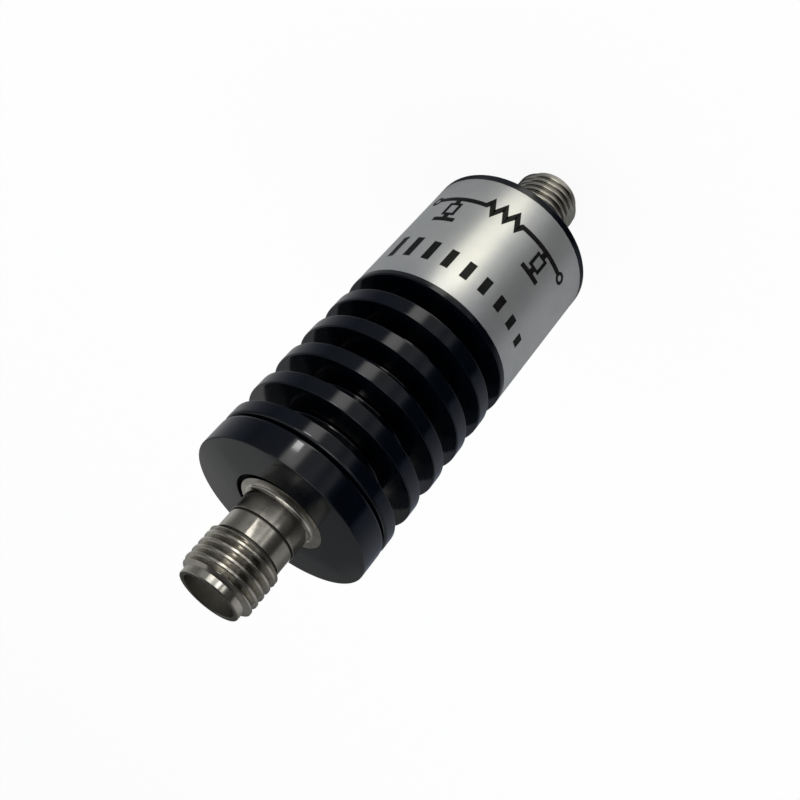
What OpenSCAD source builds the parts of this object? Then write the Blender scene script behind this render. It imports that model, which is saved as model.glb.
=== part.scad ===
// Fixed coaxial attenuator with two socket ports, standing on the rim of its rear port.
// The axis is +Z, the front port is up, and all sizes are millimetres.

/* [Finned body] */
// Diameter over the fins, the label land and the end cap
body_d = 15.8; // [14.5:0.1:20]
// Number of cooling fins between the label land and the end cap
fin_count = 5; // [3:1:8]
// Thickness of one fin
fin_t = 1.4; // [0.8:0.05:2.5]
// Width of the groove behind each fin
groove_w = 2; // [1:0.05:3.5]
// Diameter at the bottom of the grooves
root_d = 10; // [9.6:0.1:12]
// Bare black rim behind the label
rear_rim_w = 0.7; // [0.4:0.05:2]
// Bare black rim in front of the label
front_rim_w = 0.55; // [0.4:0.05:2]
// Bevel on the edges of the fins, the land and the cap
edge_bevel = 0.1; // [0.02:0.01:0.2]

/* [Label] */
// Length of the label along the axis
label_len = 13.35; // [6:0.05:24]
// Thickness of the label foil
label_t = 0.15; // [0.1:0.01:0.3]
// How far the face of the label lies below the rims beside it
label_sink = 0.02; // [0.01:0.01:0.1]

/* [End cap] */
// Thickness of the end cap, from front face to rear face
cap_t = 2.3; // [1.6:0.05:4]
// Thickness of the cap's front wall, in front of the boss that it sits on
cap_wall = 0.8; // [0.5:0.05:1.2]
// Open joint between the cap and the first fin
cap_gap = 0.4; // [0.2:0.05:0.8]
// Radial gap round each port's shoulder where it passes the end faces
port_gap = 0.22; // [0.15:0.01:0.45]

/* [Ports] */
// Diameter of the shoulder that closes each end of the core
core_d = 7.6; // [7:0.1:8.2]
// Length of the shoulder inside the body
base_len = 4; // [2.5:0.1:6]
// Diameter of the collar on the shoulder
collar_d = 5.9; // [5.85:0.05:6.3]
// Length of the collar
collar_len = 2.2; // [1.5:0.05:4]
// Radius of the fillet at the foot of the collar
collar_fillet = 0.1; // [0.05:0.05:0.4]
// Bevel on the front edge of the collar
collar_bevel = 0.05; // [0.02:0.01:0.08]
// Diameter of the plain neck behind the thread
neck_d = 5.76; // [5.5:0.02:5.8]
// Length of the neck, with the grooves at its two ends
neck_len = 2.1; // [1.5:0.05:4]
// Width of the groove between the collar and the neck
neck_groove_w = 0.15; // [0.05:0.05:0.4]
// Width of the relief groove between the neck and the thread
relief_w = 0.3; // [0.1:0.05:0.6]
// Diameter at the bottom of both grooves
neck_groove_d = 5.44; // [5.2:0.02:5.46]
// Outer diameter of the coupling thread
thread_d = 6.35; // [6.2:0.01:6.4]
// Length of the coupling thread
thread_len = 3.45; // [2.5:0.05:6]
// Bevel on the rear edge of the thread
thread_break = 0.05; // [0.02:0.01:0.15]
// Axial length of the bevel at the front end of the thread
thread_bevel = 0.25; // [0.1:0.05:0.5]
// Diameter of the plain lead in front of the thread
lead_d = 5.4; // [5.2:0.05:5.6]
// Length of the plain lead
lead_len = 0.65; // [0.3:0.05:1.5]
// Diameter of the open socket in the port
socket_d = 4.6; // [4.55:0.01:4.7]
// Depth of the socket, from the rim to the reference plane
socket_depth = 1.9; // [1.5:0.05:2.2]
// Bevel on the rim of the port
rim_bevel = 0.1; // [0.02:0.01:0.14]

/* [Insulators and contacts] */
// Diameter of the hole for the insulator
insulator_d = 4.1; // [3.8:0.02:4.2]
// Diameter of the centre contact
contact_d = 1.27; // [1.2:0.01:1.5]
// Diameter of the hole for the mating pin
pin_hole_d = 0.94; // [0.9:0.01:0.98]
// Depth of the hole for the mating pin
pin_hole_depth = 3; // [2.4:0.1:4]
// Width of the spring slots in the contact
slot_w = 0.2; // [0.1:0.02:0.3]
// Length of the spring slots in the contact
slot_len = 2; // [1:0.1:2.3]
// How far the contact lies behind the reference plane
contact_recess = 0.1; // [0.02:0.01:0.25]
// Radial height of the barb that holds the contact in its insulator
barb_h = 0.2; // [0.1:0.02:0.3]
// Length of the barb
barb_len = 0.8; // [0.4:0.05:1.2]

/* [Attenuator chip and its holder] */
// Length of the chip along the axis
chip_len = 12; // [8:0.5:16]
// Width of the chip
chip_w = 5; // [4:0.1:6]
// Thickness of the chip
chip_t = 0.6; // [0.3:0.05:0.9]
// Length of chip that each contact grips
grip_len = 1; // [0.5:0.1:2]
// Diameter of the air channel in the holder
channel_d = 2.92; // [2.6:0.02:3.4]

/* [Fits] */
// Radial clearance of the core in the body and of the label in its recess
fit_gap = 0.02; // [0.01:0.005:0.05]
// Clearance round the insulators, contacts and chip
small_gap = 0.01; // [0.005:0.005:0.03]

/* [Hidden] */
$fn = 96;
fillet_steps = 8;
cut = 1;

fin_pitch = fin_t + groove_w;
land_len = rear_rim_w + label_len + front_rim_w;
port_len = collar_len + neck_len + thread_len + lead_len;
boss_len = cap_t - cap_wall + cap_gap;

rear_face_z = port_len;
label_z = rear_face_z + rear_rim_w;
land_top_z = rear_face_z + land_len;
fins_top_z = land_top_z + fin_count * fin_pitch;
boss_top_z = fins_top_z + boss_len;
cap_z = fins_top_z + cap_gap;
front_face_z = cap_z + cap_t;

core_len = front_face_z - rear_face_z;
holder_len = core_len - 2 * base_len;
holder_z = rear_face_z + base_len;
middle_z = holder_z + holder_len / 2;
pin_reach = base_len + (holder_len - chip_len) / 2 + grip_len;
plane_t = port_len - socket_depth;
contact_front_t = plane_t - contact_recess;

port_hole_d = core_d + 2 * port_gap;
label_out_d = body_d - 2 * label_sink;
label_in_d = label_out_d - 2 * label_t;

black = "#1f2023";
silver = "#b9bab6";
steel = "#8d8b80";
white = "#f1efe8";
gold = "#c9a24a";
brass = "#b08d4b";
ceramic = "#e4e2da";

// A disc on the axis with both outer edges bevelled.
module bevelled_disc(d, len, bevel) {
    rotate_extrude()
        polygon([
            [0, 0],
            [d / 2 - bevel, 0],
            [d / 2, bevel],
            [d / 2, len - bevel],
            [d / 2 - bevel, len],
            [0, len],
        ]);
}

// Places a port's own frame on the front face or the rear face, its rim pointing outwards.
module at_front() {
    translate([0, 0, front_face_z]) children();
}

module at_rear() {
    translate([0, 0, rear_face_z]) mirror([0, 0, 1]) children();
}

// One turned port: base, shoulder face, collar, grooved neck, thread blank, lead and socket.
module port_shell() {
    core_r = core_d / 2;
    collar_r = collar_d / 2;
    neck_r = neck_d / 2;
    groove_r = neck_groove_d / 2;
    lead_r = lead_d / 2;
    thread_r = thread_d / 2;
    neck_t = collar_len;
    thread_t = neck_t + neck_len;
    lead_t = thread_t + thread_len;
    fillet_arc = [
        for (i = [0:fillet_steps])
            let (a = 90 * i / fillet_steps)
            [
                collar_r + collar_fillet * (1 - sin(a)),
                collar_fillet * (1 - cos(a)),
            ]
    ];
    rotate_extrude()
        polygon(concat(
            [
                [insulator_d / 2, -base_len],
                [core_r, -base_len],
                [core_r, -edge_bevel],
                [core_r - edge_bevel, 0],
            ],
            fillet_arc,
            [
                [collar_r, neck_t - collar_bevel],
                [collar_r - collar_bevel, neck_t],
                [groove_r, neck_t],
                [groove_r, neck_t + neck_groove_w],
                [neck_r, neck_t + neck_groove_w],
                [neck_r, thread_t - relief_w],
                [groove_r, thread_t - relief_w],
                [groove_r, thread_t],
                [thread_r - thread_break, thread_t],
                [thread_r, thread_t + thread_break],
                [thread_r, lead_t - thread_bevel],
                [lead_r, lead_t],
                [lead_r, port_len - rim_bevel],
                [lead_r - rim_bevel, port_len],
                [socket_d / 2 + rim_bevel, port_len],
                [socket_d / 2, port_len - rim_bevel],
                [socket_d / 2, plane_t],
                [insulator_d / 2, plane_t],
            ]
        ));
}

// Radius profile of the contact's barb, larger by gap for the hole that it sits in.
module barb(gap) {
    translate([0, 0, -barb_len])
        cylinder(h = barb_len, r1 = contact_d / 2 + gap, r2 = contact_d / 2 + barb_h + gap);
}

// Plastic bead that fills the port from the holder to the reference plane.
module insulator() {
    difference() {
        translate([0, 0, -base_len])
            cylinder(h = base_len + plane_t, d = insulator_d - 2 * small_gap);
        translate([0, 0, -base_len - cut])
            cylinder(h = base_len + plane_t + 2 * cut, d = contact_d + 2 * small_gap);
        barb(small_gap);
    }
}

// Centre contact: slotted socket outside, barb in the bead, forked end on the chip.
module contact() {
    difference() {
        union() {
            translate([0, 0, -pin_reach])
                cylinder(h = pin_reach + contact_front_t, d = contact_d);
            barb(0);
        }
        translate([0, 0, contact_front_t - pin_hole_depth])
            cylinder(h = pin_hole_depth + cut, d = pin_hole_d);
        for (turn = [0, 90])
            rotate(turn)
                translate([-contact_d / 2 - cut, -slot_w / 2, contact_front_t - slot_len])
                    cube([contact_d + 2 * cut, slot_w, slot_len + cut]);
        translate([-contact_d / 2 - cut, -chip_t / 2 - small_gap, -pin_reach - cut])
            cube([contact_d + 2 * cut, chip_t + 2 * small_gap, grip_len + small_gap + cut]);
    }
}

// Half of the round holder, on the +Y side, with its half of the channel and of the chip's pocket.
module chip_holder() {
    pocket = [chip_w + 2 * small_gap, chip_t + 2 * small_gap, chip_len + 2 * small_gap];
    difference() {
        translate([0, 0, holder_z])
            cylinder(h = holder_len, d = core_d);
        translate([-core_d, -2 * core_d, holder_z - cut])
            cube([2 * core_d, 2 * core_d, holder_len + 2 * cut]);
        translate([0, 0, holder_z - cut])
            cylinder(h = holder_len + 2 * cut, d = channel_d);
        translate([0, 0, middle_z])
            cube(pocket, center = true);
    }
}

module heatsink_body() {
    color(black)
        difference() {
            union() {
                translate([0, 0, rear_face_z])
                    bevelled_disc(body_d, land_len, edge_bevel);
                translate([0, 0, rear_face_z])
                    bevelled_disc(root_d, boss_top_z - rear_face_z, edge_bevel);
                for (i = [1:fin_count])
                    translate([0, 0, land_top_z + i * fin_pitch - fin_t])
                        bevelled_disc(body_d, fin_t, edge_bevel);
            }
            translate([0, 0, rear_face_z - cut])
                cylinder(h = boss_top_z - rear_face_z + 2 * cut, d = core_d + 2 * fit_gap);
            translate([0, 0, rear_face_z - cut])
                cylinder(h = cap_wall + cut, d = port_hole_d);
            translate([0, 0, label_z])
                rotate_extrude()
                    translate([label_in_d / 2 - fit_gap, 0])
                        square([body_d, label_len]);
        }
}

module front_end_cap() {
    color(black)
        difference() {
            translate([0, 0, cap_z])
                bevelled_disc(body_d, cap_t, edge_bevel);
            translate([0, 0, cap_z - cut])
                cylinder(h = cap_t + 2 * cut, d = port_hole_d);
            translate([0, 0, cap_z - cut])
                cylinder(h = boss_top_z - cap_z + cut, d = root_d + 2 * fit_gap);
        }
}

module label_band() {
    color(silver)
        translate([0, 0, label_z])
            rotate_extrude()
                translate([label_in_d / 2, 0])
                    square([label_t, label_len]);
}

module front_port_shell() {
    color(steel) at_front() port_shell();
}

module rear_port_shell() {
    color(steel) at_rear() port_shell();
}

module front_insulator() {
    color(white) at_front() insulator();
}

module rear_insulator() {
    color(white) at_rear() insulator();
}

module front_contact() {
    color(gold) at_front() contact();
}

module rear_contact() {
    color(gold) at_rear() contact();
}

module chip_holder_left() {
    color(brass) chip_holder();
}

module chip_holder_right() {
    color(brass) rotate(180) chip_holder();
}

module attenuator_chip() {
    color(ceramic)
        translate([0, 0, middle_z])
            cube([chip_w, chip_t, chip_len], center = true);
}

heatsink_body();
front_end_cap();
label_band();
front_port_shell();
rear_port_shell();
front_insulator();
rear_insulator();
front_contact();
rear_contact();
chip_holder_left();
chip_holder_right();
attenuator_chip();
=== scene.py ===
import math

import bmesh
import bpy
import numpy as np
from mathutils import Matrix, Vector

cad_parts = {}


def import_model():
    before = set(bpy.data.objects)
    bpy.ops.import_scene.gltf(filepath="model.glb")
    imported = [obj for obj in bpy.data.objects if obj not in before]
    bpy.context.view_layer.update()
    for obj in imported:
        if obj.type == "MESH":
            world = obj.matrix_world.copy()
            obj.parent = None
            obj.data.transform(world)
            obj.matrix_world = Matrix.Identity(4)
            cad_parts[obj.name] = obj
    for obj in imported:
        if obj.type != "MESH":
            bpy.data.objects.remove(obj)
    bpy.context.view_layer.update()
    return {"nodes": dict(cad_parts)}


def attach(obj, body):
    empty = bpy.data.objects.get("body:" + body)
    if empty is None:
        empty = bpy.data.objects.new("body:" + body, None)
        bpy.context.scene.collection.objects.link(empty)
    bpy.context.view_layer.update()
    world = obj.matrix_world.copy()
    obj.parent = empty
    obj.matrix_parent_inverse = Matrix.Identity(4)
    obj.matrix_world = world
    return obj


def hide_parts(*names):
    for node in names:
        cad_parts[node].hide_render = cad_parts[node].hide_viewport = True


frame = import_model()

# Sizes in millimetres, in the frame of the solids: the axis is +Z and the front port is up.
MM = 0.001
BODY_R = 7.895
ROOT_R = 5.0
BORE_R = 3.82
HOLE_R = 4.02
HOLE_SHIFT, FLANGE_SHIFT = 0.1, -0.1
END_WALL = 0.8
EDGE = 0.13
CAP_EDGE, JOINT_EDGE, HOLE_EDGE = 0.06, 0.3, 0.06
LIP_EDGE, FOIL_EDGE = 0.03, 0.04
BOSS_EDGE, BORE_EDGE, SPIGOT_EDGE = 0.1, 0.05, 0.05
ROOT_SOFT = 0.2
REAR_FACE = 8.4
LABEL_LOW, LABEL_HIGH = 9.1, 22.45
LABEL_IN_R, LABEL_R = 7.73, 7.88
LAND_TOP = 23.0
FIN_COUNT, FIN_T, FIN_PITCH = 5, 1.4, 3.4
BOSS_TOP = 41.9
CAP_LOW, FRONT_FACE = 40.2, 42.7
FIT_GAP = 0.02

SHOULDER_R, FLANGE_FROM_R, BASE_LEN = 3.8, 3.3, 4.0
COLLAR_R, COLLAR_LEN, COLLAR_FILLET, COLLAR_BEVEL = 2.95, 2.2, 0.45, 0.05
NECK_R, NECK_LEN = 2.88, 2.1
GROOVE_R, GROOVE_W, RELIEF_W = 2.72, 0.15, 0.3
THREAD_R, THREAD_ROOT_R, THREAD_LEN, THREAD_PITCH = 3.175, 2.79, 3.45, 0.7056
CREST_W, CREST_SOFT = 0.27, 0.06
THREAD_RING, THREAD_BREAK, THREAD_BEVEL, THREAD_ROWS = 0.1, 0.05, 0.25, 224
LEAD_R, LEAD_LEN = 2.7, 0.65
SOCKET_R, SOCKET_DEPTH = 2.3, 1.9
INSULATOR_R = 2.05
SHOULDER_EDGE, GROOVE_EDGE, RELIEF_EDGE, RIM_EDGE, SOCKET_EDGE = 0.02, 0.03, 0.04, 0.1, 0.04
PORT_LEN = COLLAR_LEN + NECK_LEN + THREAD_LEN + LEAD_LEN
THREAD_FLANK = math.tan(math.radians(30))

# Steps round the axis
AROUND = 192
# The largest share of a side that a corner's cut takes, and how far out a point holds the cut, in cuts
CUT_SHARE, HOLD = 0.4, 1.15


def link(obj):
    bpy.context.scene.collection.objects.link(obj)
    return obj


def softened(corners, steps=4):
    """A closed outline of (r, z, cut) corners, each rounded over its cut and held by a point on each side."""
    outline = []
    for i, (r, z, cut) in enumerate(corners):
        here = np.array((r, z))
        if cut <= 0:
            outline.append(here)
            continue
        before = np.array(corners[i - 1][:2]) - here
        after = np.array(corners[(i + 1) % len(corners)][:2]) - here
        before_len, after_len = np.linalg.norm(before), np.linalg.norm(after)
        start = here + before / before_len * min(cut, CUT_SHARE * before_len)
        end = here + after / after_len * min(cut, CUT_SHARE * after_len)
        outline.append(here + (start - here) * HOLD)
        for k in range(steps + 1):
            t = k / steps
            outline.append((1 - t) ** 2 * start + 2 * t * (1 - t) * here + t * t * end)
        outline.append(here + (end - here) * HOLD)
    return outline


def shade(mesh, sharp_deg=32):
    """Smooth faces, with sharp edges where the surface turns by more than the angle, and outward normals."""
    bm = bmesh.new()
    bm.from_mesh(mesh)
    bmesh.ops.recalc_face_normals(bm, faces=bm.faces)
    limit = math.radians(sharp_deg)
    for face in bm.faces:
        face.smooth = True
    for edge in bm.edges:
        edge.smooth = edge.calc_face_angle(0) < limit
    bm.to_mesh(mesh)
    bm.free()


TURN = np.arange(AROUND) * 2 * math.pi / AROUND


def turned(name, rows, shift=0.0, shifted=lambda r: False):
    """A closed turned solid from (r, z) rows; r may be an array with one radius for each step round the axis.

    Rows whose largest radius answers to shifted lie off the axis by the shift along X.
    """
    count = len(rows)
    points = np.empty((count, AROUND, 3))
    for i, (r, z) in enumerate(rows):
        off_axis = shift if shifted(np.max(r)) else 0.0
        points[i, :, 0] = r * np.cos(TURN) + off_axis
        points[i, :, 1] = r * np.sin(TURN)
        points[i, :, 2] = z
    quads = []
    for i in range(count):
        low, high = i * AROUND, ((i + 1) % count) * AROUND
        for j in range(AROUND):
            k = (j + 1) % AROUND
            quads.append((low + j, low + k, high + k, high + j))
    mesh = bpy.data.meshes.new(name)
    mesh.from_pydata((points.reshape(-1, 3) * MM).tolist(), [], quads)
    shade(mesh)
    return link(bpy.data.objects.new(name, mesh))


# The finned body, the end cap and the label

def body_rows():
    corners = [
        (HOLE_R, REAR_FACE, HOLE_EDGE),
        (BODY_R, REAR_FACE, EDGE),
        (BODY_R, LABEL_LOW, LIP_EDGE),
        (LABEL_IN_R - FIT_GAP, LABEL_LOW, 0),
        (LABEL_IN_R - FIT_GAP, LABEL_HIGH, 0),
        (BODY_R, LABEL_HIGH, LIP_EDGE),
        (BODY_R, LAND_TOP, EDGE),
        (ROOT_R, LAND_TOP, ROOT_SOFT),
    ]
    for i in range(1, FIN_COUNT + 1):
        top = LAND_TOP + i * FIN_PITCH
        corners += [
            (ROOT_R, top - FIN_T, ROOT_SOFT),
            (BODY_R, top - FIN_T, EDGE),
            (BODY_R, top, JOINT_EDGE if i == FIN_COUNT else EDGE),
            (ROOT_R, top, ROOT_SOFT),
        ]
    corners += [
        (ROOT_R, BOSS_TOP, BOSS_EDGE),
        (BORE_R, BOSS_TOP, BORE_EDGE),
        (BORE_R, REAR_FACE + END_WALL, 0),
        (HOLE_R, REAR_FACE + END_WALL, 0),
    ]
    return softened(corners)


def cap_rows():
    return softened([
        (HOLE_R, FRONT_FACE, HOLE_EDGE),
        (BODY_R, FRONT_FACE, CAP_EDGE),
        (BODY_R, CAP_LOW, JOINT_EDGE),
        (ROOT_R + FIT_GAP, CAP_LOW, SPIGOT_EDGE),
        (ROOT_R + FIT_GAP, BOSS_TOP, 0),
        (HOLE_R, BOSS_TOP, 0),
    ])


def label_rows():
    return softened([
        (LABEL_IN_R, LABEL_LOW, 0),
        (LABEL_R, LABEL_LOW, FOIL_EDGE),
        (LABEL_R, LABEL_HIGH, FOIL_EDGE),
        (LABEL_IN_R, LABEL_HIGH, 0),
    ])


# The threaded ports

def thread_radius(z, from_rear):
    """Radius of the right-hand coupling thread at one height, all round the axis, between its two ends."""
    phase = (z / THREAD_PITCH - TURN / (2 * math.pi)) % 1.0
    past_crest = np.abs(phase - 0.5) * THREAD_PITCH - CREST_W / 2
    rounded = np.clip(past_crest + CREST_SOFT, 0, 2 * CREST_SOFT) ** 2 / (4 * CREST_SOFT)
    drop = np.maximum(rounded, past_crest) / THREAD_FLANK
    r = np.maximum(THREAD_R - drop, THREAD_ROOT_R)
    rear_ring = THREAD_R - max(from_rear - THREAD_RING, 0) / THREAD_FLANK
    rear_edge = THREAD_R - THREAD_BREAK + from_rear
    front_edge = LEAD_R + (THREAD_R - LEAD_R) * (THREAD_LEN - from_rear) / THREAD_BEVEL
    return np.minimum(np.maximum(r, rear_ring), min(THREAD_R, rear_edge, front_edge))


def port(name, face, out):
    """One port; its t runs outwards from the end face, and out is +1 at the front and -1 at the rear."""
    thread_t = COLLAR_LEN + NECK_LEN
    lead_t = thread_t + THREAD_LEN
    plane_t = PORT_LEN - SOCKET_DEPTH
    behind_thread = [
        (SHOULDER_R, -BASE_LEN, 0),
        (SHOULDER_R, 0, SHOULDER_EDGE),
        (COLLAR_R, 0, COLLAR_FILLET),
        (COLLAR_R, COLLAR_LEN, COLLAR_BEVEL),
        (GROOVE_R, COLLAR_LEN, GROOVE_EDGE),
        (GROOVE_R, COLLAR_LEN + GROOVE_W, GROOVE_EDGE),
        (NECK_R, COLLAR_LEN + GROOVE_W, GROOVE_EDGE),
        (NECK_R, thread_t - RELIEF_W, GROOVE_EDGE),
        (GROOVE_R, thread_t - RELIEF_W, RELIEF_EDGE),
        (GROOVE_R, thread_t, 0),
    ]
    past_thread = [
        (LEAD_R, lead_t, 0),
        (LEAD_R, PORT_LEN, RIM_EDGE),
        (SOCKET_R, PORT_LEN, RIM_EDGE),
        (SOCKET_R, plane_t, SOCKET_EDGE),
        (INSULATOR_R, plane_t, SOCKET_EDGE),
        (INSULATOR_R, -BASE_LEN, 0),
    ]
    rows = [(r, face + out * t) for r, t in softened(behind_thread, steps=5)]
    rows.append((THREAD_R - THREAD_BREAK, face + out * thread_t))
    for i in range(1, THREAD_ROWS):
        from_rear = THREAD_LEN * i / THREAD_ROWS
        z = face + out * (thread_t + from_rear)
        rows.append((thread_radius(z, from_rear), z))
    rows += [(r, face + out * t) for r, t in softened(past_thread, steps=5)]
    return turned(name, rows, FLANGE_SHIFT if out > 0 else 0.0, lambda r: r > FLANGE_FROM_R)


# The print on the label, as thin ribbons of ink on its face

INK_LOW_R, INK_R = 7.872, 7.894
STROKE, THIN_STROKE, BAR_STROKE = 0.5, 0.3, 0.72
# The least cosine at a bend, which keeps the point of a sharp mitre short
MITRE_COS = 0.4


def ribbon(points, width, closed=False):
    """Left and right edges of a stroke of even width along points on the unrolled label."""
    p = np.array(points, float)
    ahead = np.roll(p, -1, axis=0) - p
    if not closed:
        ahead[-1] = ahead[-2]
    behind = np.roll(ahead, 1, axis=0)
    if not closed:
        behind[0] = ahead[0]
    ahead /= np.linalg.norm(ahead, axis=1)[:, None]
    behind /= np.linalg.norm(behind, axis=1)[:, None]
    normal_a = np.stack([-ahead[:, 1], ahead[:, 0]], axis=1)
    normal_b = np.stack([-behind[:, 1], behind[:, 0]], axis=1)
    mitre = normal_a + normal_b
    mitre /= np.linalg.norm(mitre, axis=1)[:, None]
    reach = width / 2 / np.maximum((mitre * normal_a).sum(axis=1), MITRE_COS)
    return p + mitre * reach[:, None], p - mitre * reach[:, None]


def fine(points, step=0.3, closed=False):
    """The same line with points no further apart than step, so that a stroke follows the label's curve."""
    result = []
    count = len(points) if closed else len(points) - 1
    for i in range(count):
        a, b = np.array(points[i], float), np.array(points[(i + 1) % len(points)], float)
        pieces = max(1, math.ceil(np.linalg.norm(b - a) / step))
        result += [a + (b - a) * k / pieces for k in range(pieces)]
    if not closed:
        result.append(np.array(points[-1], float))
    return result


def strokes_mesh(name, strokes):
    """One mesh of thin closed plates; a stroke is (points of (arc, height), width, closed)."""
    verts, faces = [], []

    def on_label(p, r):
        angle = p[0] / LABEL_R
        return (-r * math.sin(angle) * MM, -r * math.cos(angle) * MM, p[1] * MM)

    for points, width, closed in strokes:
        left, right = ribbon(fine(points, closed=closed), width, closed)
        base = len(verts)
        count = len(left)
        for a, b in zip(left, right):
            verts += [on_label(a, INK_R), on_label(b, INK_R), on_label(b, INK_LOW_R), on_label(a, INK_LOW_R)]
        for i in range(count if closed else count - 1):
            m, n = base + 4 * i, base + 4 * ((i + 1) % count)
            for k in range(4):
                q = (k + 1) % 4
                faces.append((m + k, m + q, n + q, n + k))
        if not closed:
            end = base + 4 * (count - 1)
            faces.append((base + 3, base + 2, base + 1, base))
            faces.append((end, end + 1, end + 2, end + 3))
    mesh = bpy.data.meshes.new(name)
    mesh.from_pydata(verts, [], faces)
    shade(mesh)
    return link(bpy.data.objects.new(name, mesh))


def circle(x, y, r, count=28):
    return [
        (x + r * math.cos(2 * math.pi * i / count), y + r * math.sin(2 * math.pi * i / count))
        for i in range(count)
    ]


def label_strokes():
    """A row of falling level bars, and the circuit symbol of a pad: one series and two shunt resistors."""
    strokes = []
    bars, first, pitch = 9, -8.6, 1.86
    low, tall, short = 20.4, 2.7, 1.1
    for i in range(bars):
        x = first + pitch * i
        height = tall + (short - tall) * i / (bars - 1)
        strokes.append(([(x, low), (x, low - height)], BAR_STROKE, False))

    wire, wire_start, wire_end = 12.25, -8.6, 5.1
    left, right = -6.4, 2.9
    series, teeth, tooth, rise = left + 2.6, 6, 0.62, 0.62
    zigzag = [(series + tooth * (i + 0.5), wire + (rise if i % 2 else -rise)) for i in range(teeth)]
    line = [(wire_start, wire), (series, wire)] + zigzag + [(series + tooth * teeth, wire), (wire_end, wire)]
    strokes.append((line, STROKE, False))
    terminals, terminal_r = (-9.1, 5.6), 0.42
    for x in terminals:
        strokes.append((circle(x, wire, terminal_r), THIN_STROKE, True))

    stem, box_low, box_high, foot = wire + 0.24, wire + 0.75, wire + 2.15, wire + 2.3
    box_half, ground, ground_half = 0.5, 15.15, 1.1
    for x in (left, right):
        box_left, box_right = x - box_half, x + box_half
        box = [(box_left, box_low), (box_right, box_low), (box_right, box_high), (box_left, box_high)]
        strokes.append(([(x, stem), (x, box_low)], STROKE, False))
        strokes.append((box, THIN_STROKE, True))
        strokes.append(([(x, foot), (x, ground - 0.2)], STROKE, False))
        strokes.append(([(x - ground_half, ground), (x + ground_half, ground)], STROKE, False))
    return strokes


# Materials

def node(tree, kind, **values):
    """A shader node, with its properties and its inputs set by name."""
    made = tree.nodes.new(kind)
    for key, value in values.items():
        if key in made.inputs:
            made.inputs[key].default_value = value
        else:
            setattr(made, key, value)
    return made


def material(name, base, **sockets):
    made = bpy.data.materials.new(name)
    made.use_nodes = True
    made.diffuse_color = (*base, 1)
    bsdf = made.node_tree.nodes["Principled BSDF"]
    bsdf.inputs["Base Color"].default_value = (*base, 1)
    for key, value in sockets.items():
        bsdf.inputs[key.replace("_", " ")].default_value = value
    return made, made.node_tree, bsdf


def mm_coordinates(tree):
    """The place on the object in millimetres."""
    coord = node(tree, "ShaderNodeTexCoord")
    scale = node(tree, "ShaderNodeVectorMath", operation="SCALE")
    scale.inputs["Scale"].default_value = 1000
    tree.links.new(coord.outputs["Object"], scale.inputs[0])
    return scale.outputs["Vector"]


def maths(tree, operation, first, second):
    """One sum on two values, each a socket or a plain number."""
    made = node(tree, "ShaderNodeMath", operation=operation)
    for socket, value in zip(made.inputs, (first, second)):
        if isinstance(value, (int, float)):
            socket.default_value = value
        else:
            tree.links.new(value, socket)
    return made.outputs[0]


def split(tree, vector):
    parts = node(tree, "ShaderNodeSeparateXYZ")
    tree.links.new(vector, parts.inputs[0])
    return parts.outputs


def axis_distance(tree, place):
    """How far a place is from the axis."""
    parts = split(tree, place)
    across = node(tree, "ShaderNodeCombineXYZ")
    tree.links.new(parts["X"], across.inputs["X"])
    tree.links.new(parts["Y"], across.inputs["Y"])
    radius = node(tree, "ShaderNodeVectorMath", operation="LENGTH")
    tree.links.new(across.outputs[0], radius.inputs[0])
    return radius.outputs["Value"]


def turned_coordinates(tree, place, drift):
    """Coordinates that stay nearly the same round the axis, as the marks of a lathe do."""
    parts = split(tree, place)
    joined = node(tree, "ShaderNodeCombineXYZ")
    tree.links.new(axis_distance(tree, place), joined.inputs["X"])
    tree.links.new(maths(tree, "MULTIPLY", parts["X"], drift), joined.inputs["Y"])
    tree.links.new(parts["Z"], joined.inputs["Z"])
    return joined.outputs[0]


def noise(tree, place, scale, detail=3.0, rough=0.55):
    made = node(tree, "ShaderNodeTexNoise", Scale=scale, Detail=detail, Roughness=rough)
    tree.links.new(place, made.inputs["Vector"])
    return made.outputs["Fac"]


def ramp(tree, value, stops):
    made = node(tree, "ShaderNodeValToRGB")
    points = made.color_ramp.elements
    while len(points) < len(stops):
        points.new(0.5)
    for point, (place, colour) in zip(points, stops):
        point.position = place
        point.color = (*colour, 1)
    tree.links.new(value, made.inputs["Fac"])
    return made.outputs["Color"]


def spread(tree, value, low, high, start=0.3, end=0.7):
    made = node(tree, "ShaderNodeMapRange")
    for key, number in (("From Min", start), ("From Max", end), ("To Min", low), ("To Max", high)):
        made.inputs[key].default_value = number
    tree.links.new(value, made.inputs["Value"])
    return made.outputs["Result"]


def bump(tree, bsdf, height, microns, strength=1.0, under=None):
    made = node(tree, "ShaderNodeBump", Strength=strength, Distance=microns * 1e-6)
    tree.links.new(height, made.inputs["Height"])
    if under is not None:
        tree.links.new(under, made.inputs["Normal"])
    tree.links.new(made.outputs["Normal"], bsdf.inputs["Normal"])
    return made.outputs["Normal"]


def black_anodise():
    made, tree, bsdf = material("black_anodise", (0.0006, 0.0014, 0.003), IOR=1.5)
    place = mm_coordinates(tree)
    lines = noise(tree, turned_coordinates(tree, place, 0.05), 5.0, 4.0, 0.65)
    patches = noise(tree, place, 0.5, 4.0, 0.6)
    colour = ramp(tree, patches, [(0.3, (0.0003, 0.001, 0.0024)), (0.7, (0.0009, 0.0019, 0.0038))])
    tree.links.new(colour, bsdf.inputs["Base Color"])
    tree.links.new(spread(tree, lines, 0.08, 0.15), bsdf.inputs["Roughness"])
    under = bump(tree, bsdf, lines, 1.6, 0.6)
    bump(tree, bsdf, noise(tree, place, 9.0, 3.0), 0.6, 0.5, under)
    return made


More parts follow.
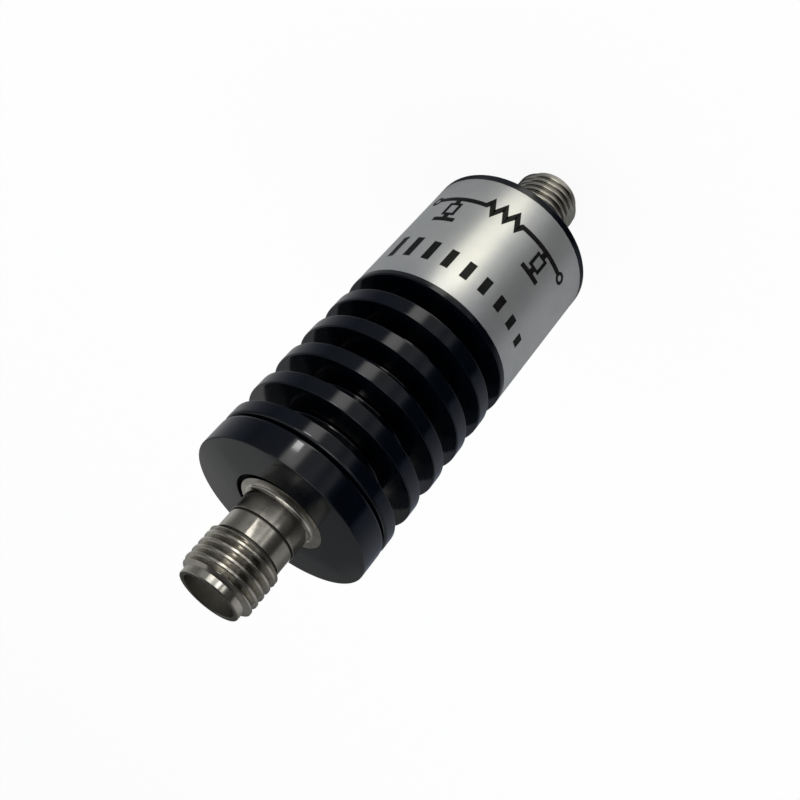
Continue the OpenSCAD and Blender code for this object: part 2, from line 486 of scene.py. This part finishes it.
def label_foil():
    made, tree, bsdf = material("label_foil", (0.6, 0.6, 0.59), Metallic=0.8)
    place = mm_coordinates(tree)
    clouds = noise(tree, place, 0.35, 3.0)
    colour = ramp(tree, clouds, [(0.3, (0.58, 0.585, 0.58)), (0.7, (0.64, 0.64, 0.625))])
    tree.links.new(colour, bsdf.inputs["Base Color"])
    grain = noise(tree, turned_coordinates(tree, place, 0.3), 7.0, 3.0, 0.6)
    tree.links.new(spread(tree, grain, 0.32, 0.42), bsdf.inputs["Roughness"])
    under = bump(tree, bsdf, grain, 0.7, 0.5)
    bump(tree, bsdf, noise(tree, place, 1.3, 2.0), 3.0, 0.5, under)
    return made


# Where the steel's painted shade starts and fades in the socket, grooves and thread, how deep it is in the
# thread, and its tone and roughness
BORE_MARGIN, BORE_FADE, ROOT_MARGIN = 0.01, 0.05, 0.02
RECESS_SHADE_FADE, ROOT_SHADE = 0.06, 0.4
RECESS_SHADE_TONE, RECESS_SHADE_ROUGH = 0.36, 0.5


def port_steel():
    """Turned steel, bright outside, with painted shade that darkens and roughens it in the socket and in the
    grooves of the neck and thread.
    """
    made, tree, bsdf = material("port_steel", (0.5, 0.48, 0.43), Metallic=1.0)
    place = mm_coordinates(tree)
    stains = noise(tree, place, 0.9, 5.0, 0.65)
    colour = ramp(tree, stains, [
        (0.3, (0.4, 0.375, 0.325)), (0.55, (0.52, 0.5, 0.45)), (0.75, (0.58, 0.565, 0.52)),
    ])
    radius = axis_distance(tree, place)
    # Painted shade: the socket, the neck's two grooves and the thread roots are made darker and rougher,
    # where shade falls
    painted_recess_shade = spread(tree, radius, 1, 0, SOCKET_R + BORE_MARGIN, SOCKET_R + BORE_FADE)
    height = split(tree, place)["Z"]
    off_front = maths(tree, "SUBTRACT", height, FRONT_FACE)
    off_face = maths(tree, "MAXIMUM", off_front, maths(tree, "SUBTRACT", REAR_FACE, height))
    for start, width in ((COLLAR_LEN, GROOVE_W), (COLLAR_LEN + NECK_LEN - RELIEF_W, RELIEF_W)):
        off_middle = maths(tree, "ABSOLUTE", maths(tree, "SUBTRACT", off_face, start + width / 2), 0)
        painted_recess_shade = maths(tree, "MAXIMUM", painted_recess_shade, spread(tree, off_middle, 1, 0, width / 2, width / 2 + RECESS_SHADE_FADE))
    thread_t = COLLAR_LEN + NECK_LEN
    bevel_t = thread_t + THREAD_LEN - THREAD_BEVEL
    root_r = THREAD_ROOT_R + ROOT_MARGIN
    past_neck = spread(tree, off_face, 0, 1, thread_t, thread_t + RECESS_SHADE_FADE)
    before_bevel = spread(tree, off_face, ROOT_SHADE, 0, bevel_t, bevel_t + RECESS_SHADE_FADE)
    on_thread = maths(tree, "MULTIPLY", past_neck, before_bevel)
    in_root = spread(tree, radius, 1, 0, root_r, root_r + 2 * RECESS_SHADE_FADE)
    painted_recess_shade = maths(tree, "MAXIMUM", painted_recess_shade, maths(tree, "MULTIPLY", on_thread, in_root))
    # The base colour darkened by the painted shade
    shaded_colour = node(tree, "ShaderNodeVectorMath", operation="SCALE")
    tree.links.new(colour, shaded_colour.inputs[0])
    tree.links.new(spread(tree, painted_recess_shade, 1, RECESS_SHADE_TONE, 0, 1), shaded_colour.inputs["Scale"])
    tree.links.new(shaded_colour.outputs["Vector"], bsdf.inputs["Base Color"])
    lines = noise(tree, turned_coordinates(tree, place, 0.1), 6.0, 4.0, 0.65)
    rough = maths(tree, "MAXIMUM", spread(tree, lines, 0.1, 0.18), maths(tree, "MULTIPLY", painted_recess_shade, RECESS_SHADE_ROUGH))
    tree.links.new(rough, bsdf.inputs["Roughness"])
    under = bump(tree, bsdf, lines, 1.0, 0.5)
    bump(tree, bsdf, noise(tree, place, 2.2, 3.0, 0.55), 4.0, 0.5, under)
    return made


def insulator_plastic():
    made, tree, bsdf = material("insulator_plastic", (0.84, 0.82, 0.76), IOR=1.38)
    place = mm_coordinates(tree)
    clouds = noise(tree, place, 1.2, 3.0)
    colour = ramp(tree, clouds, [(0.3, (0.8, 0.78, 0.71)), (0.7, (0.86, 0.845, 0.79))])
    tree.links.new(colour, bsdf.inputs["Base Color"])
    lines = noise(tree, turned_coordinates(tree, place, 0.2), 6.0)
    tree.links.new(spread(tree, lines, 0.42, 0.58), bsdf.inputs["Roughness"])
    bump(tree, bsdf, lines, 3.0, 0.6)
    return made


def plain_metal(name, dark, light, rough_low, rough_high):
    made, tree, bsdf = material(name, light, Metallic=1.0)
    place = mm_coordinates(tree)
    clouds = noise(tree, place, 1.5, 4.0, 0.6)
    tree.links.new(ramp(tree, clouds, [(0.3, dark), (0.7, light)]), bsdf.inputs["Base Color"])
    lines = noise(tree, turned_coordinates(tree, place, 0.2), 8.0, 3.0)
    tree.links.new(spread(tree, lines, rough_low, rough_high), bsdf.inputs["Roughness"])
    bump(tree, bsdf, lines, 1.5, 0.6)
    return made


def chip_ceramic():
    made, tree, bsdf = material("chip_ceramic", (0.8, 0.79, 0.75))
    place = mm_coordinates(tree)
    clouds = noise(tree, place, 3.0, 4.0, 0.6)
    colour = ramp(tree, clouds, [(0.3, (0.75, 0.74, 0.7)), (0.7, (0.83, 0.82, 0.78))])
    tree.links.new(colour, bsdf.inputs["Base Color"])
    tree.links.new(spread(tree, clouds, 0.5, 0.65), bsdf.inputs["Roughness"])
    bump(tree, bsdf, clouds, 4.0, 0.5)
    return made


def label_ink():
    made, tree, bsdf = material("label_ink", (0.006, 0.006, 0.006), Specular_IOR_Level=0.12)
    place = mm_coordinates(tree)
    clouds = noise(tree, place, 2.0, 4.0, 0.6)
    colour = ramp(tree, clouds, [(0.3, (0.004, 0.004, 0.004)), (0.7, (0.009, 0.009, 0.008))])
    tree.links.new(colour, bsdf.inputs["Base Color"])
    tree.links.new(spread(tree, clouds, 0.35, 0.5), bsdf.inputs["Roughness"])
    bump(tree, bsdf, noise(tree, place, 8.0, 3.0), 1.0, 0.5)
    return made


# The pieces on the frame

BLACK = black_anodise()
FOIL = label_foil()
STEEL = port_steel()
INK = label_ink()


def place_piece(obj, finish, slot, *nodes):
    obj.data.materials.append(finish)
    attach(obj, "root")
    if nodes:
        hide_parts(*nodes)


place_piece(turned("finned_body", body_rows()), BLACK, "black_anodise", "heatsink_body")
CAP = turned("end_cap", cap_rows(), HOLE_SHIFT, lambda r: r < HOLE_R + EDGE)
place_piece(CAP, BLACK, "black_anodise", "front_end_cap")
place_piece(turned("label_foil_band", label_rows()), FOIL, "label_foil", "label_band")
place_piece(port("front_port_threaded", FRONT_FACE, 1), STEEL, "port_steel", "front_port_shell")
place_piece(port("rear_port_threaded", REAR_FACE, -1), STEEL, "port_steel", "rear_port_shell")
place_piece(strokes_mesh("label_print", label_strokes()), INK, "label_foil")

INSULATOR = insulator_plastic()
GOLD = plain_metal("contact_gold", (0.72, 0.5, 0.17), (0.83, 0.6, 0.24), 0.2, 0.32)
BRASS = plain_metal("holder_brass", (0.55, 0.4, 0.16), (0.66, 0.49, 0.22), 0.3, 0.45)
CERAMIC = chip_ceramic()
for names, finish in (
    (("front_insulator", "rear_insulator"), INSULATOR),
    (("front_contact", "rear_contact"), GOLD),
    (("chip_holder_left", "chip_holder_right"), BRASS),
    (("attenuator_chip",), CERAMIC),
):
    for name in names:
        for slot in frame["nodes"][name].material_slots:
            slot.material = finish

# The stage: a pale floor, a soft lamp, and a tent of cards that only reflections see

TENT_R, TENT_TOP, TENT_STRENGTH = 14.0, 75.0, 4.0
CARD_STEP_DEG = 3
# A tint in the shade, a tint in full light, and the level at which the light is full
LABEL_TINT = ((0.93, 0.985, 1.06), (1.0, 0.985, 0.86), 1.4)
FIN_TINT = ((0.83, 0.985, 1.38), (1.0, 0.985, 0.97), 0.45)
PORT_TINT = ((0.97, 0.985, 0.98), (1.0, 0.985, 0.96), 1.4)


def emission(name, colour, strength):
    made = bpy.data.materials.new(name)
    made.use_nodes = True
    tree = made.node_tree
    tree.nodes.clear()
    light = node(tree, "ShaderNodeEmission", Strength=strength)
    light.inputs["Color"].default_value = (*colour, 1)
    out = node(tree, "ShaderNodeOutputMaterial")
    tree.links.new(light.outputs[0], out.inputs["Surface"])
    return made, tree, light


def only_reflected(obj):
    obj.visible_camera = False
    obj.visible_diffuse = False
    obj.visible_transmission = False
    obj.visible_volume_scatter = False
    obj.visible_shadow = False


def card(name, low, high, finish, start_deg=-180, end_deg=180):
    """A card round the axis between two (r, z) rings; 0 degrees faces the camera, and angles grow to -X."""
    steps = int((end_deg - start_deg) / CARD_STEP_DEG)
    verts, faces = [], []
    for i in range(steps + 1):
        angle = math.radians(start_deg + (end_deg - start_deg) * i / steps)
        for r, z in (low, high):
            verts.append((-r * math.sin(angle) * MM, -r * math.cos(angle) * MM, z * MM))
    for i in range(steps):
        faces.append((2 * i, 2 * i + 1, 2 * i + 3, 2 * i + 2))
    mesh = bpy.data.meshes.new(name)
    mesh.from_pydata(verts, [], faces)
    mesh.materials.append(finish)
    only_reflected(link(bpy.data.objects.new(name, mesh)))


def tent_material(name, levels, tint):
    """How bright a card is at each angle round the axis."""
    made, tree, light = emission(name, (1, 1, 1), TENT_STRENGTH)
    coord = node(tree, "ShaderNodeTexCoord")
    parts = split(tree, coord.outputs["Object"])
    minus = [maths(tree, "MULTIPLY", parts[axis], -1) for axis in ("X", "Y")]
    angle = maths(tree, "ARCTAN2", *minus)
    share = spread(tree, angle, 0, 1, -math.pi, math.pi)
    shade_tint, lit_tint, full = tint
    stops = []
    for degrees, level in levels:
        lit = min(level / full, 1)
        colour = [level / TENT_STRENGTH * (a + (b - a) * lit) for a, b in zip(shade_tint, lit_tint)]
        stops.append((0.5 + degrees / 360, colour))
    tree.links.new(ramp(tree, share, stops), light.inputs["Color"])
    return made


# Brightness at angles round the axis, for the band of the tent that each part of the object mirrors
TENT_BANDS = (
    ("tent_skirt", 0.1, 1.8, PORT_TINT, ((-180, 0.06), (-60, 0.06), (60, 0.1), (180, 0.1))),
    ("tent_rear_land", 1.8, 3.3, FIN_TINT, (
        (-180, 0.3), (-95, 0.3), (-40, 0.25), (-30, 0.3), (-25, 1.4), (-15, 1.6), (-11, 0.45), (-6, 0.25),
        (0, 0.25), (8, 0.22), (14, 0.05), (45, 0.01), (58, 0.15), (95, 0.2), (180, 0.25),
    )),
    ("tent_label", 3.3, 15.0, LABEL_TINT, (
        (-180, 0.36), (-130, 0.33), (-95, 0.3), (-60, 0.28), (-40, 0.29), (-35, 0.38), (-31, 1.35),
        (-12, 1.78), (-6, 1.05), (0, 0.48), (8, 0.33), (14, 0.1), (24, 0.01), (45, 0.01), (58, 0.18),
        (70, 0.24), (95, 0.25), (130, 0.25), (147, 0.35), (152, 1.3), (166, 1.6), (174, 0.6), (180, 0.36),
    )),
    ("tent_label_front", 15.0, 18.0, LABEL_TINT, (
        (-180, 0.36), (-130, 0.33), (-95, 0.3), (-60, 0.31), (-40, 0.36), (-36, 0.5), (-31, 1.65),
        (-12, 2.1), (-6, 1.4), (0, 0.62), (8, 0.42), (14, 0.1), (24, 0.01), (45, 0.01), (58, 0.18),
        (70, 0.24), (95, 0.25), (130, 0.25), (147, 0.35), (152, 1.3), (166, 1.6), (174, 0.6), (180, 0.36),
    )),
    ("tent_fins", 18.0, 40.0, FIN_TINT, (
        (-180, 0.34), (-130, 0.36), (-111, 0.42), (-95, 0.32), (-78, 0.18), (-61, 0.11), (-45, 0.16),
        (-29, 0.19), (-26, 1.95), (-21, 2.15), (-15, 1.8), (-12, 0.42), (-7, 0.36), (0, 0.4), (7, 0.2),
        (15, 0.34), (20, 0.05), (26, 0.01), (50, 0.01), (56, 0.15), (69, 0.22), (81, 0.27), (95, 0.26),
        (111, 0.21), (130, 0.21), (151, 0.3), (154, 1.9), (163, 1.8), (167, 0.4), (180, 0.34),
    )),
    ("tent_neck", 40.0, 43.0, PORT_TINT, (
        (-180, 0.33), (-126, 0.55), (-110, 0.37), (-91, 0.17), (-73, 0.14), (-54, 0.28), (-38, 0.33),
        (-21, 0.5), (-9, 0.48), (0, 0.7), (9, 0.36), (18, 0.76), (24, 0.25), (30, 0.1), (42, 0.05),
        (56, 0.05), (66, 0.25), (82, 0.3), (95, 0.26), (110, 0.17), (126, 0.12), (150, 0.2), (154, 1.6),
        (166, 1.6), (170, 0.3), (180, 0.33),
    )),
    ("tent_thread", 43.0, 46.6, PORT_TINT, (
        (-180, 0.33), (-126, 0.62), (-110, 0.5), (-91, 0.22), (-73, 0.15), (-54, 0.38), (-34, 0.4),
        (-29, 1.8), (-23, 2.7), (-15, 3.2), (-11, 1.3), (-5, 0.85), (0, 0.85), (9, 0.42), (18, 0.5),
        (24, 0.25), (30, 0.12), (42, 0.06), (56, 0.07), (66, 0.36), (82, 0.46), (95, 0.42), (110, 0.34),
        (126, 0.2), (180, 0.2),
    )),
    ("tent_lead", 46.6, 47.9, PORT_TINT, (
        (-180, 0.33), (-126, 0.48), (-110, 0.36), (-91, 0.23), (-73, 0.18), (-54, 0.38), (-38, 0.33),
        (-35, 1.7), (-22, 2.1), (-18, 0.85), (-7, 0.8), (-3, 2.9), (3, 2.9), (8, 0.3), (14, 0.7),
        (18, 1.9), (23, 0.4), (30, 0.1), (56, 0.05), (66, 0.4), (82, 0.48), (95, 0.45), (110, 0.48),
        (126, 0.34), (150, 0.14), (180, 0.14),
    )),
    ("tent_over_port", 47.9, 52.0, PORT_TINT, (
        (-180, 0.3), (-150, 0.3), (-126, 0.5), (-110, 0.42), (-91, 0.2), (-73, 0.17), (-54, 0.22),
        (-36, 0.25), (-31, 0.6), (-17, 0.6), (-12, 0.25), (0, 0.2), (18, 0.16), (30, 0.06), (56, 0.05),
        (66, 0.26), (82, 0.34), (95, 0.32), (110, 0.26), (126, 0.18), (150, 0.14), (180, 0.14),
    )),
    ("tent_top", 52.0, TENT_TOP, PORT_TINT, (
        (-180, 0.06), (-162, 0.08), (-145, 0.4), (-100, 0.4), (-75, 0.18), (-45, 0.16), (-20, 0.1),
        (0, 0.03), (60, 0.06), (100, 0.2), (145, 0.2), (162, 0.08), (180, 0.06),
    )),
)
for band, low, high, tint, levels in TENT_BANDS:
    card(band, (TENT_R, low), (TENT_R, high), tent_material(band, levels, tint))

# Brims that slope with the rays from the thread, so that only rays from below meet them
BRIM_SLOPE, BRIM_HALF_SPAN = math.tan(math.radians(20)), 130
BRIMS = (
    ("brim_for_collar", 12.0, 44.6, (
        (-180, 0.06), (-126, 0.06), (-108, 0.12), (-95, 0.32), (-73, 0.85), (-54, 1.2), (-36, 0.85),
        (-27, 1.0), (-18, 1.35), (-9, 1.9), (0, 2.9), (4, 2.0), (9, 1.1), (18, 1.3), (27, 0.85), (40, 0.5),
        (54, 0.18), (69, 0.55), (82, 0.9), (95, 1.0), (110, 0.25), (180, 0.15),
    )),
    ("brim_for_faces", 10.0, 45.8, (
        (-180, 0.2), (-94, 0.19), (-68, 0.18), (-45, 0.1), (-22, 0.04), (0, 0.015), (40, 0.02), (55, 0.15),
        (70, 0.3), (94, 0.45), (126, 0.34), (180, 0.3),
    )),
    ("brim_for_grazing", 12.0, 43.02, (
        (-180, 0.2), (-94, 0.2), (-45, 0.15), (-14, 0.3), (-9, 2.4), (0, 2.4), (6, 1.2), (12, 0.2),
        (45, 0.05), (94, 0.2), (180, 0.2),
    )),
)
for brim, inner_r, outer_z, levels in BRIMS:
    inner_z = outer_z + (TENT_R - inner_r) * BRIM_SLOPE
    finish = tent_material(brim, levels, PORT_TINT)
    card(brim, (inner_r, inner_z), (TENT_R, outer_z), finish, -BRIM_HALF_SPAN, BRIM_HALF_SPAN)

# Small bright cards in front of the tent: a wedge that the neck mirrors and a spot that the cap's rim mirrors
GLINT_R = TENT_R - 0.1
NECK_GLINT = emission("neck_glint", (1.0, 0.985, 0.96), 2.3)[0]
WEDGE_STEPS, WEDGE_START, WEDGE_STEP = 6, -35, 3
WEDGE_LOW, WEDGE_RISE, WEDGE_HIGH = 41.0, 0.3, 43.0
for i in range(WEDGE_STEPS):
    start, low = WEDGE_START + WEDGE_STEP * i, WEDGE_LOW + WEDGE_RISE * i
    card(f"neck_glint_{i}", (GLINT_R, low), (GLINT_R, WEDGE_HIGH), NECK_GLINT, start, start + WEDGE_STEP)
CAP_GLINT = emission("cap_glint", (1.0, 1.0, 1.0), 11.0)[0]
CAP_GLINT_LOW, CAP_GLINT_HIGH = 37.5, 38.5
card("cap_glint", (GLINT_R, CAP_GLINT_LOW), (GLINT_R, CAP_GLINT_HIGH), CAP_GLINT, -26, -20)

# What the rear port mirrors below it and beside it, and a dim roof
FLOOR_LEVELS = (
    (-180, 0.05), (-112, 0.05), (-95, 0.08), (-79, 0.1), (-63, 0.21), (-47, 0.33), (-32, 0.45),
    (-24, 0.58), (-8, 0.64), (8, 0.66), (16, 0.48), (24, 0.3), (35, 0.17), (47, 0.2), (60, 0.34),
    (71, 0.26), (90, 0.18), (180, 0.2),
)
FLOOR_CARD_R, FLOOR_CARD_Z = 2.0, 0.02
SHADE_R, SHADE_LOW, SHADE_HIGH = 9.0, 0.1, 5.0
ROOF_HOLE_R = 0.1
FLOOR_FINISH = tent_material("tent_floor", FLOOR_LEVELS, PORT_TINT)
SHADE_FINISH = emission("rear_shade", (0.04, 0.04, 0.04), 1.0)[0]
ROOF_FINISH = emission("tent_roof", (0.07, 0.07, 0.073), 1.0)[0]
card("tent_floor", (FLOOR_CARD_R, FLOOR_CARD_Z), (TENT_R, FLOOR_CARD_Z), FLOOR_FINISH)
card("rear_shade", (SHADE_R, SHADE_LOW), (SHADE_R, SHADE_HIGH), SHADE_FINISH, -140, -70)
card("tent_roof", (ROOF_HOLE_R, TENT_TOP), (TENT_R, TENT_TOP), ROOF_FINISH)


def shown_to(tree):
    """1 for rays that show the background: camera, mirror and glass rays."""
    path = node(tree, "ShaderNodeLightPath")
    total = path.outputs["Is Camera Ray"]
    for name in ("Is Glossy Ray", "Is Transmission Ray"):
        total = maths(tree, "MAXIMUM", total, path.outputs[name])
    return total


def floor():
    mesh = bpy.data.meshes.new("floor")
    half, glow_share = 3.0, 0.92
    corners = [(-half, -half, 0), (half, -half, 0), (half, half, 0), (-half, half, 0)]
    mesh.from_pydata(corners, [], [(0, 1, 2, 3)])
    made = bpy.data.materials.new("floor_white")
    made.use_nodes = True
    tree = made.node_tree
    tree.nodes.clear()
    paint = node(tree, "ShaderNodeBsdfDiffuse")
    paint.inputs["Color"].default_value = (0.9, 0.9, 0.9, 1)
    glow = node(tree, "ShaderNodeEmission", Strength=1.0)
    mix = node(tree, "ShaderNodeMixShader")
    tree.links.new(maths(tree, "MULTIPLY", shown_to(tree), glow_share), mix.inputs["Fac"])
    tree.links.new(paint.outputs[0], mix.inputs[1])
    tree.links.new(glow.outputs[0], mix.inputs[2])
    out = node(tree, "ShaderNodeOutputMaterial")
    tree.links.new(mix.outputs[0], out.inputs["Surface"])
    mesh.materials.append(made)
    link(bpy.data.objects.new("floor", mesh))


def world():
    made = bpy.data.worlds.new("studio")
    bpy.context.scene.world = made
    made.use_nodes = True
    tree = made.node_tree
    ambient = tree.nodes["Background"]
    ambient.inputs["Color"].default_value = (0.75, 0.76, 0.78, 1)
    shown = node(tree, "ShaderNodeBackground", Strength=1.0)
    shown.inputs["Color"].default_value = (1, 1, 1, 1)
    mix = node(tree, "ShaderNodeMixShader")
    tree.links.new(shown_to(tree), mix.inputs["Fac"])
    tree.links.new(ambient.outputs[0], mix.inputs[1])
    tree.links.new(shown.outputs[0], mix.inputs[2])
    tree.links.new(mix.outputs[0], tree.nodes["World Output"].inputs["Surface"])


def soft_lamp(name, place, aim, size, watts):
    data = bpy.data.lights.new(name, "AREA")
    data.size = size
    data.energy = watts
    obj = link(bpy.data.objects.new(name, data))
    obj.location = place
    obj.rotation_euler = (Vector(aim) - Vector(place)).to_track_quat("-Z", "Y").to_euler()
    obj.visible_glossy = False


def camera():
    """Where the photograph was taken from: above the front face, a hand's breadth away, and turned over."""
    place = Vector((0, -74.72, FRONT_FACE + 28.93)) * MM
    aim = Vector((-1.48, 0, 28.25)) * MM
    roll = math.radians(-140.0)
    ahead = (aim - place).normalized()
    level = ahead.cross(Vector((0, 0, 1))).normalized()
    upright = level.cross(ahead)
    right = math.cos(roll) * level + math.sin(roll) * upright
    up = right.cross(ahead)
    turn = Matrix((right, up, -ahead)).transposed().to_4x4()
    data = bpy.data.cameras.new("camera")
    data.sensor_width = 36
    data.lens = 46.81
    data.clip_start = 0.001
    obj = link(bpy.data.objects.new("camera", data))
    obj.matrix_world = Matrix.Translation(place) @ turn
    bpy.context.scene.camera = obj


floor()
world()
soft_lamp("key_lamp", (-0.15, -0.2, 0.5), (0, 0, 0.02), 0.35, 0.9)
camera()
bpy.context.scene.view_settings.view_transform = "Standard"
